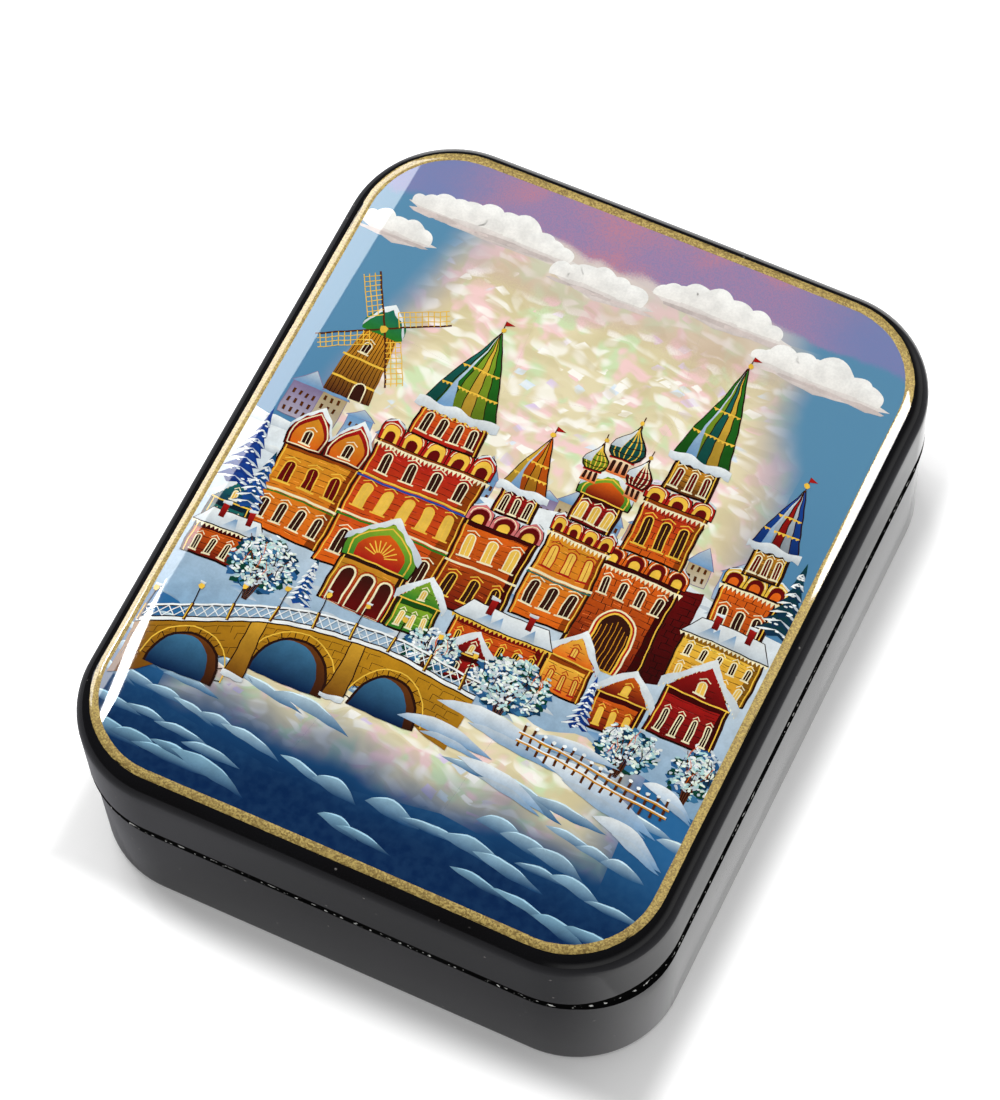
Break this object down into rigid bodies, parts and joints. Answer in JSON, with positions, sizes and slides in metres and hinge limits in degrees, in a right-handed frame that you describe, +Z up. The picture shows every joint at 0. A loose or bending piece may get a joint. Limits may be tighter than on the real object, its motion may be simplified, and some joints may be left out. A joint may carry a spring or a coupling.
{
  "type": "lacquer box",
  "caption": "Small hinged papier-mache box in black lacquer, with a round-shouldered lid that bears a winter village painted over mother-of-pearl inside a gold line.",
  "frame": {"origin": "middle of the flat underside that the box stands on", "axes": "+Z up, +Y towards the hinge along the long side, +X across the width to the right of the picture"},
  "size_m": [0.0796, 0.1005, 0.0316],
  "materials": {
    "black_lacquer": "gloss",
    "red_lacquer": "gloss",
    "picture_paint": "gloss",
    "gold_line": "satin",
    "mother_of_pearl": "gloss",
    "brass_wire": "satin"
  },
  "bodies": {
    "base": {"base_wall": "black_lacquer", "base_bottom": "black_lacquer", "inner_wall": "red_lacquer", "base_knuckle_left": "black_lacquer", "base_knuckle_middle": "black_lacquer", "base_knuckle_right": "black_lacquer", "hinge_pin": "brass_wire"},
    "lid": {"lid_wall": "black_lacquer", "lid_plate": "black_lacquer", "picture_ground": "picture_paint", "gold_border": "gold_line", "pearl_slip_1": "mother_of_pearl", "pearl_slip_2": "mother_of_pearl", "pearl_slip_3": "mother_of_pearl", "pearl_slip_4": "mother_of_pearl", "pearl_slip_5": "mother_of_pearl", "pearl_slip_6": "mother_of_pearl", "pearl_slip_7": "mother_of_pearl", "pearl_slip_8": "mother_of_pearl", "pearl_slip_9": "mother_of_pearl", "pearl_slip_10": "mother_of_pearl", "pearl_slip_11": "mother_of_pearl", "pearl_slip_12": "mother_of_pearl", "lid_knuckle_left": "black_lacquer", "lid_knuckle_right": "black_lacquer"}
  },
  "joints": [
    {"name": "lid_hinge", "type": "hinge", "parent": "base", "child": "lid", "pos_m": [0, 0.0488, 0.0182], "axis": [-1, 0, 0], "range_deg": [0, 105]}
  ]
}
